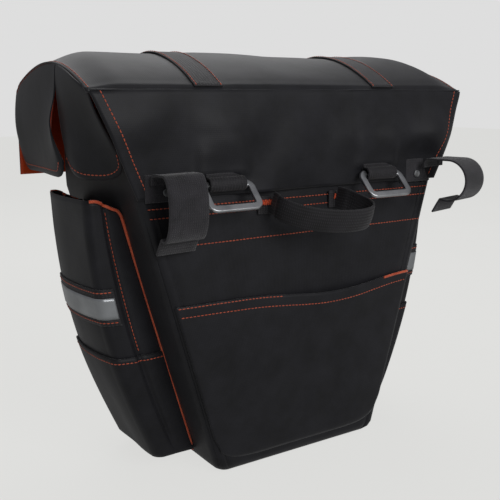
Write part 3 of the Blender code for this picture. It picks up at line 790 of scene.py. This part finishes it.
def lidEdge(y):
    # height of the lid's side edge at y, read off the same sheet
    low, high = creaseShare, dropShare
    for turn in range(26):
        centre = (low + high) / 2
        if lidPlace(0, centre).y < y:
            low = centre
        else:
            high = centre
    return lidPlace(0, low)


wingEdges = {}
drapeSlope = (lidHalf - drapeHemHalf) / (creaseZ - hemZ)
wingSplit = {"rearEnd": -0.016, "frontStart": -0.0155, "curl": 0.0075}


def wingPlaceFor(sign, part):
    first, last = (wingRear, wingSplit["rearEnd"]) if part == "rear" else (wingSplit["frontStart"], wingFront)

    def wingPlace(u, v):
        y = mix(first, last, u)
        key = round(y * 20000)
        if key not in wingEdges:
            wingEdges[key] = lidEdge(y)
        top = wingEdges[key]
        corner = wingSettings["corner"] * (1 if part == "rear" else 0.5)
        near = min(max((y - first) / corner, 0), 1)
        far = min(max((last - y) / corner, 0), 1)
        low = wingZ + corner * (1 - math.sqrt(1 - (1 - near) ** 2))
        low += corner * 0.7 * (1 - math.sqrt(1 - (1 - far) ** 2))
        z = mix(top.z - 0.0006, low, v)
        x = lidHalf - 0.0006 + 0.0030 * math.sin(math.pi * v) ** 0.7 - 0.0035 * v * v
        x += 0.0038 * v * ripple(y * 15, v * 1.3, 3.3 + sign)
        x -= drapeSlope * (creaseZ - z) * math.exp(-((y - wingRear) / 0.036) ** 2)
        if part == "front":                        # its free edge curls out and shows the lining
            belly = math.sin(math.pi * ease(v, 0.12, 1.15)) ** 1.3
            x += wingSplit["curl"] * math.exp(-(y - first) / 0.013) * belly
        else:
            x -= 0.0022 * ease(u, 0.7, 1.0) * v
        return Vector((sign * x, y, z))
    return wingPlace


wingMiddle = Vector((0, 0, 0.3))
wingLine = [(0.03, 0.90), (0.10, 0.945), (0.35, 0.945), (0.65, 0.945), (0.97, 0.93)]
for side, sign in sides:
    wings = []
    for part, across in (("rear", 26), ("front", 44)):
        place = wingPlaceFor(sign, part)
        flat = (across * 0.0024, 0.09)
        wing = clothSheet(f"lid_wing_{part}_{side}", across, 34, place, flat, wingMiddle)
        finishSheet(wing, fabric, lining, wingSettings["wall"], "lid")
        wings.append((place, wingLine, wingMiddle))
        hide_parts(f"lid_wing_{side}")
    wingStitches = stitches(f"lid_wing_stitches_{side}", wings)
    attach(wingStitches, "lid")

for side, sign in sides:
    near = 0.5 + sign * (0.5 - 0.008)
    topLine = [(near, creaseShare + 0.012), (near, 0.45), (near, dropShare - 0.01)]
    topRun = stitches(f"lid_edge_stitches_{side}", [(lidPlace, topLine, lidMiddle)])
    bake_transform(topRun)
    drapeLine = [(0.5 + sign * (0.5 - 0.030), 0.012), (0.5 + sign * (0.5 - 0.022), creaseShare - 0.004)]
    drapeRun = stitches(f"lid_drape_stitches_{side}", [(lidPlace, drapeLine, lidMiddle)])
    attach(drapeRun, "bag")
hemRun = stitches("lid_drop_stitches", [(lidPlace, [(0.015, 0.982), (0.985, 0.982)], lidMiddle),
                                        (lidPlace, [(0.015, 0.962), (0.985, 0.962)], lidMiddle)])
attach(hemRun, "lid")
print("lid ready")

# side pockets: face, pleated gussets and floor as one wrapped sheet

pocketSettings = {"reachTop": 0.033, "reachBase": 0.039, "bulge": 0.014, "corner": 0.007,
                  "rise": 0.009, "pleat": 0.0030, "floorShare": 0.12, "wall": 0.0012,
                  "bootWall": 0.0013, "bootProud": 0.0022, "bootTop": 0.116, "piping": 0.0014,
                  "carrierProud": 0.0013, "carrierWall": 0.0008, "tapeProud": 0.0018, "tapeWall": 0.0005}


def pocketReach(z):
    share = min(max((z - pocketFloor) / (pocketTop - pocketFloor), 0), 1)
    flat = mix(pocketSettings["reachBase"], pocketSettings["reachTop"], share)
    return flat + pocketSettings["bulge"] * math.sin(math.pi * share)


def pocketPoint(sign, u, z, shrink=1.0, proud=0.0):
    # u runs from the rack seam round the face to the outer seam
    reach = pocketReach(z) * shrink
    root = halfAt(z)
    half = pocketY * (0.55 + 0.45 * shrink)
    corner = min(pocketSettings["corner"], reach * 0.45)
    near = u if u < 0.5 else 1 - u
    level = min(max((z - pocketFloor) / (pocketTop - pocketFloor), 0), 1)
    if near < 0.20:                                       # gusset
        share = near / 0.20
        x = root + 0.001 + (reach - corner - 0.001) * share
        pleat = bump(share, 0.62, 0.045) * pocketSettings["pleat"] - 0.0016 * ease(share, 0.62, 0.72)
        y = half + proud - pleat * ease(level, 0.0, 0.15)
        y += 0.0016 * ripple(x * 22, z * 12, 2.0 + sign) * math.sin(math.pi * share)
        y += 0.0022 * math.sin(math.pi * share) * math.sin(math.pi * level)
    elif near < 0.26:                                     # rounded corner
        angle = (near - 0.20) / 0.06 * math.pi / 2
        x = root + reach - corner + (corner + proud) * math.sin(angle)
        y = half - corner + (corner + proud) * math.cos(angle)
        y += 0.0016 * math.cos(angle) * ease(level, 0, 0.15)
    else:                                                 # face
        share = (near - 0.26) / 0.24
        y = mix(half - corner, 0, share)
        full = 1 - (1 - share) ** 2
        x = root + reach + proud + 0.0045 * full * math.sin(math.pi * level)
        x += 0.0030 * full * ripple((y if u > 0.5 else -y) * 15, z * 8, 11.0 + sign)
        x += 0.0028 * full * ease(level, 0.9, 1.0)
    y = -y if u < 0.5 else y
    high = mix(0, pocketSettings["rise"], ease(near, 0.02, 0.2)) * ease(level, 0.9, 1.0)
    return Vector((sign * x, y, z + high))


def pocketPlaceFor(sign):
    def pocketPlace(u, v):
        floor = pocketSettings["floorShare"]
        if v < floor:
            share = v / floor
            return pocketPoint(sign, u, pocketFloor + 0.004 * share ** 4, mix(0.04, 0.965, share ** 0.7))
        share = (v - floor) / (1 - floor)
        shrink = 1 - 0.03 * (1 - ease(share, 0, 0.03))
        return pocketPoint(sign, u, mix(pocketFloor + 0.005, pocketTop, share), shrink)
    return pocketPlace


def wrapPlaceFor(sign, lowU, highU, lowZ, highZ, proud):
    def wrapPlace(u, v):
        return pocketPoint(sign, mix(lowU, highU, u), mix(lowZ, highZ, v), 1.0, proud)
    return wrapPlace


bootTop = pocketSettings["bootTop"]
stripLow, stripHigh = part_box("reflective_strip_left")[0].z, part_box("reflective_strip_left")[1].z
for side, sign in sides:
    middle = Vector((sign * 0.14, 0, 0.13))
    place = pocketPlaceFor(sign)
    pocket = clothSheet(f"side_pocket_{side}", 92, 66, place, (0.18, 0.28), middle)
    finishSheet(pocket, fabric, darkLining, pocketSettings["wall"], "bag")
    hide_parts(f"pocket_face_{side}", f"pocket_gusset_rack_{side}",
                f"pocket_gusset_outer_{side}", f"pocket_floor_{side}")

    bootPlace = wrapPlaceFor(sign, 0.006, 0.994, pocketFloor + 0.004, bootTop, pocketSettings["bootProud"])
    boot = clothSheet(f"pocket_boot_{side}", 92, 28, bootPlace, (0.18, 0.10), middle)
    finishSheet(boot, bootFabric, darkLining, pocketSettings["bootWall"], "bag")

    carrierPlace = wrapPlaceFor(sign, 0.155, 0.845, stripLow - 0.006, stripHigh + 0.008,
                                pocketSettings["carrierProud"])
    carrier = clothSheet(f"reflective_carrier_{side}", 80, 8, carrierPlace, (0.12, 0.033), middle)
    giveMaterials(carrier, webbing)
    thicken(carrier, pocketSettings["carrierWall"])
    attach(carrier, "bag")
    tapePlace = wrapPlaceFor(sign, 0.162, 0.838, stripLow, stripHigh, pocketSettings["tapeProud"])
    tape = clothSheet(f"reflective_tape_{side}", 80, 6, tapePlace, (0.12, 0.019), middle)
    giveMaterials(tape, reflective)
    thicken(tape, pocketSettings["tapeWall"])
    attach(tape, "bag")
    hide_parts(f"reflective_strip_{side}")

    def onPocket(u, z):
        floor = pocketSettings["floorShare"]
        return (u, floor + (1 - floor) * (z - pocketFloor - 0.005) / (pocketTop - pocketFloor - 0.005))
    runs = [(bootPlace, [(0.01, 0.955), (0.99, 0.955)], middle),
            (carrierPlace, [(0.02, 0.09), (0.98, 0.09)], middle),
            (carrierPlace, [(0.02, 0.91), (0.98, 0.91)], middle)]
    for low, high in ((0.115, 0.95), (0.885, 0.95)):
        runs.append((place, [onPocket(low, bootTop + 0.004), onPocket(low, pocketTop - 0.006)], middle))
    pocketStitches = stitches(f"pocket_stitches_{side}", runs)
    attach(pocketStitches, "bag")

    for end, root, mouth in (("rack", 0.010, 0.215), ("outer", 0.990, 0.785)):
        spots = []
        for k in range(41):
            z = mix(pocketFloor + 0.004, pocketTop - 0.008, k / 40)
            spots.append(surfaceAt(place, *onPocket(root, z), middle))
        for k in range(1, 6):
            u = root + (0.03 if end == "rack" else -0.03) * (1 - math.cos(k / 5 * math.pi / 2))
            z = pocketTop - 0.008 + 0.0075 * math.sin(k / 5 * math.pi / 2)
            spots.append(surfaceAt(place, *onPocket(u, z), middle))
        bend = root + (0.03 if end == "rack" else -0.03)
        for k in range(1, 16):
            spots.append(surfaceAt(place, mix(bend, mouth, k / 15), 0.998, middle))
        spots = [(point + normal * 0.0012, normal) for point, normal in spots]
        cord = tubeAlong(f"pocket_piping_{end}_{side}", spots, pocketSettings["piping"], piping,
                         middle=middle)
        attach(cord, "bag")
print("side pockets ready")

# lid straps, closure straps and buckles

strapSettings = {"width": 0.0277, "thickness": 0.0013, "closureThickness": 0.0014, "closureWave": 0.0005}
for side, sign in sides:
    x = sign * lidStrapX
    path = []
    for k in range(71):
        v = mix(creaseShare + 0.006, dropShare - 0.006, k / 70)
        point, normal = surfaceAt(lidPlace, 0.5 + x / (2 * lidHalf), v, lidMiddle)
        path.append(Vector((x, point.y, point.z)) + Vector((0, normal.y, normal.z)) * 0.0010)
    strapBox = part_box(f"lid_strap_{side}")
    lowZ, frontY = strapBox[0].z, strapBox[1].y - 0.0008
    start = path[-1]
    for k in range(1, 6):
        angle = math.radians(90 * k / 5)
        path.append(Vector((x, mix(start.y, frontY, math.sin(angle)),
                            mix(start.z, start.z - 0.006, 1 - math.cos(angle)))))
    top = path[-1].z
    for k in range(1, 50):
        z = mix(top, lowZ, k / 49)
        path.append(Vector((x, frontY, z)))
    strap = band(f"lid_strap_webbing_{side}", path, lambda i, share: Vector((1, 0, 0)),
                 strapSettings["width"], strapSettings["thickness"], webbing)
    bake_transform(strap)
    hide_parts(f"lid_strap_{side}")

    def strapPlace(u, v, path=path, x=x):
        i = min(int(v * 69.999), 69)
        point = path[i].lerp(path[i + 1], v * 69.999 - i)
        return Vector((x + (u - 0.5) * 0.028, point.y, point.z + 0.0009))
    runs = [(strapPlace, [(u, 0.0), (u, 0.995)], lidMiddle) for u in (0.07, 0.93)]
    strapStitches = stitches(f"lid_strap_stitches_{side}", runs)
    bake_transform(strapStitches)

    low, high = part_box(f"closure_strap_{side}")
    path = []
    for k in range(31):
        wave = strapSettings["closureWave"] * math.sin(k)
        path.append(Vector((x, mix(low.y, high.y, 0.5) + wave, mix(low.z, high.z, k / 30))))
    flatStrap(f"closure_strap_webbing_{side}", path, high.x - low.x, strapSettings["closureThickness"],
              webbing, "bag", f"closure_strap_{side}")
    for node, body in ((f"buckle_female_{side}", "bag"), (f"buckle_male_{side}", f"clip_{side}")):
        buckle = refined(node, 0.0007, 2, acetal)
        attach(buckle, body)
        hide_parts(node)
print("straps and buckles ready")

# rack hooks: steel loops in folded webbing tabs

hookSettings = {"width": 0.054, "depth": 0.032, "bar": 0.0065, "steel": 0.0035, "corner": 0.009, "droop": 46,
                "rollRadius": 0.0053, "tab": 0.0017}


def hookLoop(name):
    bpy.ops.object.select_all(action="DESELECT")
    bpy.ops.mesh.primitive_plane_add(size=1)
    loop = bpy.context.object
    loop.name = name
    editAll()
    bpy.ops.transform.resize(value=(hookSettings["width"], hookSettings["depth"], 1))
    bpy.ops.mesh.bevel(affect="VERTICES", offset=hookSettings["corner"], segments=8, offset_type="OFFSET")
    bpy.ops.mesh.select_all(action="SELECT")
    bpy.ops.mesh.inset(thickness=hookSettings["bar"])
    bpy.ops.mesh.delete(type="FACE")
    bpy.ops.mesh.select_all(action="SELECT")
    bpy.ops.mesh.extrude_region_move(TRANSFORM_OT_translate={"value": (0, 0, hookSettings["steel"])})
    bpy.ops.mesh.select_all(action="SELECT")
    bpy.ops.transform.translate(value=(0, hookSettings["bar"] / 2 - hookSettings["depth"] / 2,
                                       -hookSettings["steel"] / 2))
    bpy.ops.mesh.normals_make_consistent(inside=False)
    bpy.ops.object.mode_set(mode="OBJECT")
    edge = loop.modifiers.new("edge", "BEVEL")
    edge.width = 0.0012
    edge.segments = 4
    edge.limit_method = "ANGLE"
    edge.angle_limit = math.radians(50)
    applyModifiers(loop)
    bpy.ops.object.shade_smooth_by_angle(angle=math.radians(50))
    return loop


for side, sign in sides:
    joint = next(j for j in frame["joints"] if j["name"] == f"hook_{side}_swing")
    axis = Vector(joint["pos_m"])
    loop = hookLoop(f"hook_loop_steel_{side}")
    turn = Matrix.Translation(axis) @ Matrix.Rotation(math.radians(hookSettings["droop"]), 4, "X")
    loop.data.transform(turn)
    giveMaterials(loop, steel)
    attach(loop, f"hook_loop_{side}")
    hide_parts(f"hook_{side}")

    tabLow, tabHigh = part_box(f"hook_tab_{side}")
    radius = hookSettings["rollRadius"]
    tail = axis.z + 0.013
    path = [Vector((axis.x, tabHigh.y - 0.0009, tail)), Vector((axis.x, tabHigh.y - 0.0009, axis.z + 0.010))]
    path += [Vector((axis.x, tabHigh.y - 0.0011, axis.z + 0.006))]
    for k in range(1, 19):
        angle = math.radians(mix(0, 285, k / 18))
        path.append(Vector((axis.x, axis.y + radius * math.cos(angle), axis.z - radius * math.sin(angle))))
    path += [Vector((axis.x, axis.y + 0.0035, axis.z + 0.0062)),
             Vector((axis.x, tabHigh.y - 0.0028, axis.z + 0.0095))]
    flatStrap(f"hook_tab_webbing_{side}", path, tabHigh.x - tabLow.x, hookSettings["tab"],
              webbing, "bag", f"hook_tab_{side}")
print("rack hooks ready")

# carry handle

handleSettings = {"halfSpan": 0.040, "reach": 0.0375, "standoff": 0.0125, "width": 0.022, "thickness": 0.0018,
                  "droop": 20, "skew": 0.020, "anchor": 0.0016}
handleAxis = Vector(next(j for j in frame["joints"] if j["name"] == "handle_swing")["pos_m"])
tilt = Matrix.Rotation(math.radians(handleSettings["droop"]), 3, "X")
handlePath = []
for k in range(61):
    turn = math.pi * k / 60
    x = handleSettings["halfSpan"] * math.cos(turn) * (1 + 0.12 * math.sin(turn))
    x += handleSettings["skew"] * math.sin(turn)
    bow = handleSettings["reach"] * math.sin(turn) ** 0.75
    handlePath.append(tilt @ Vector((x, -handleSettings["standoff"] - bow, 0)) + handleAxis)
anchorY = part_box("handle_anchor_left")[0].y - 0.0012
sewn = []
for k in range(7):
    out = mix(0.0, handlePath[0].y - anchorY, ease(k / 7, 0, 1))
    sewn.append(Vector((handleSettings["halfSpan"] - 0.004 * math.cos(k / 7 * math.pi / 2), anchorY + out,
                        mix(handleAxis.z - 0.002, handlePath[0].z, k / 7))))
handlePath = sewn + handlePath + [Vector((-point.x, point.y, point.z)) for point in reversed(sewn)]
handleUp = tilt @ Vector((0, 0, 1))
handle = band("handle_webbing", handlePath, lambda i, share: handleUp, handleSettings["width"],
              handleSettings["thickness"], webbing, across=8, crown=0.0012)
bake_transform(handle)
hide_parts("carry_handle")
for side, sign in sides:
    low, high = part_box(f"handle_anchor_{side}")
    centre = (low + high) / 2
    path = [Vector((centre.x, centre.y, mix(low.z, high.z, k / 6))) for k in range(7)]
    flatStrap(f"handle_anchor_webbing_{side}", path, high.x - low.x, handleSettings["anchor"],
              webbing, "bag", f"handle_anchor_{side}")
print("handle ready")

# hook-and-loop straps with rivets

gripSettings = {"flat": {"left": 0.36, "right": 1.0}, "radius": {"left": 0.0265, "right": 0.0200},
                "standoff": 0.006, "tail": 0.016, "width": 0.038, "thickness": 0.0018, "root": 0.0016}
for side, sign in sides:
    joint = next(j for j in frame["joints"] if j["name"] == f"grip_{side}_swing")
    pivot = Vector(joint["pos_m"])
    axis = Vector(joint["axis"]).normalized()
    outward = Vector((axis.y, -axis.x, 0))
    radius = gripSettings["radius"][side]
    out = radius * gripSettings["flat"][side]
    flat = [(-0.0006, -0.0085), (-0.0006, -0.0060), (-0.0004, -0.0035),
            (0.0006, -0.0014), (0.0022, -0.0003), (0.0045, 0.0)]
    for k in range(41):
        angle = math.radians(mix(90, 292, k / 40))
        flat.append((gripSettings["standoff"] + out - out * math.cos(angle), radius * (math.sin(angle) - 1)))
    heading = math.radians(300)
    tip = flat[-1]
    for k in range(1, 7):
        step = gripSettings["tail"] * k / 6
        flat.append((tip[0] - step * math.cos(heading), tip[1] + step * math.sin(heading)))
    path = [pivot + outward * a + Vector((0, 0, b)) for a, b in flat]
    strap = band(f"grip_strap_tape_{side}", path, lambda i, share, axis=axis: axis, gripSettings["width"],
                 gripSettings["thickness"], gripTape, across=10)
    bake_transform(strap)
    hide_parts(f"grip_strap_{side}")

    low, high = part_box(f"grip_strap_root_{side}")
    centre = (low + high) / 2
    path = [Vector((centre.x, centre.y, mix(low.z, high.z, k / 8))) for k in range(9)]
    flatStrap(f"grip_root_tape_{side}", path, high.x - low.x, gripSettings["root"],
              gripTape, "bag", f"grip_strap_root_{side}")
    rivet = refined(f"strap_rivet_{side}", 0.0004, 2, steel)
    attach(rivet, "bag")
    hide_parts(f"strap_rivet_{side}")
print("hook-and-loop straps ready")

for node in ("back_stiffener", "base_stiffener"):
    for slotIndex in range(len(frame["nodes"][node].material_slots)):
        frame["nodes"][node].material_slots[slotIndex].material = board

# bar tacks through the handle ends

tackSettings = {"width": 0.016, "height": 0.005, "rows": 7}
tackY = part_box("handle_anchor_left")[0].y - 0.0002
tackRuns = []


def tackPlace(u, v):
    return Vector((mix(-0.18, 0.18, u), tackY, mix(0, 0.3, v)))


for centreX, centreZ in ((-0.0395, 0.2485), (0.043, 0.2485)):
    corners = []
    for k in range(tackSettings["rows"] * 2 + 1):
        x = centreX + tackSettings["width"] * (k / (tackSettings["rows"] * 2) - 0.5)
        z = centreZ + tackSettings["height"] * (0.5 if k % 2 else -0.5)
        corners.append(onRack(x, z))
    tackRuns.append((tackPlace, corners, bagMiddle))
tackShape = {"pitch": 0.0022, "length": 0.0030, "width": 0.0017, "height": 0.0012}
tacks = stitches("bar_tacks", tackRuns, tackThread, tackShape)
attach(tacks, "bag")

# floor, light and camera

bpy.ops.object.select_all(action="DESELECT")
bpy.ops.mesh.primitive_plane_add(size=12, location=(0, 0, -0.0006))
floor = bpy.context.object
floor.name = "studio_floor"
floorMaterial, tree, shader, place = newMaterial("matt studio floor", {
    "Roughness": 0.9, "Specular IOR Level": 0.0, "Emission Color": hexLinear("dededc")})
grain = addNode(tree, "ShaderNodeTexNoise", {"Scale": 3.0, "Detail": 4.0}, {"Vector": place["Object"]})
colourFrom(tree, shader, grain.outputs["Fac"], ((0.3, "5c5c5b"), (0.7, "60605f")))
seen = addNode(tree, "ShaderNodeLightPath")
glow = addNode(tree, "ShaderNodeMapRange", {"To Min": 0.30, "To Max": 0.93},
               {"Value": seen.outputs["Is Camera Ray"]})    # looks brighter than it lights
tree.links.new(glow.outputs["Result"], shader.inputs["Emission Strength"])
giveMaterials(floor, floorMaterial)

scene = bpy.context.scene
scene.view_settings.view_transform = "Standard"
world = bpy.data.worlds.new("studio")
scene.world = world
world.use_nodes = True
tree = world.node_tree
backdrop = tree.nodes["Background"]
backdrop.inputs["Color"].default_value = hexLinear("dedede")
fill = addNode(tree, "ShaderNodeBackground", {"Color": hexLinear("e4e4e8"), "Strength": 0.27})
seen = addNode(tree, "ShaderNodeLightPath")
both = addNode(tree, "ShaderNodeMixShader", links={
    0: seen.outputs["Is Camera Ray"], 1: fill.outputs["Background"], 2: backdrop.outputs["Background"]})
tree.links.new(both.outputs["Shader"], tree.nodes["World Output"].inputs["Surface"])


def softLight(name, size, power, location, target):
    light = bpy.data.lights.new(name, "AREA")
    light.shape = "RECTANGLE"
    light.size, light.size_y = size
    light.energy = power
    lamp = bpy.data.objects.new(name, light)
    lamp.location = location
    lamp.rotation_euler = (Vector(target) - Vector(location)).to_track_quat("-Z", "Y").to_euler()
    bpy.context.scene.collection.objects.link(lamp)


softLight("top softbox", (1.5, 1.5), 10.5, (0.3, 0.9, 1.5), (0, 0, 0.3))
softLight("front softbox", (1.2, 1.0), 15, (0.15, -1.9, 1.1), (0, 0, 0.2))

camera = bpy.data.cameras.new("camera")
camera.lens = 57.8
camera.sensor_width = 36
camera.shift_x = -0.036
viewpoint = bpy.data.objects.new("camera", camera)
viewpoint.location = (-0.442, -0.6685, 0.343)
viewpoint.rotation_euler = Vector((0.556, 0.809, -0.191)).to_track_quat("-Z", "Y").to_euler()
bpy.context.scene.collection.objects.link(viewpoint)
bpy.context.scene.camera = viewpoint
print("studio ready")
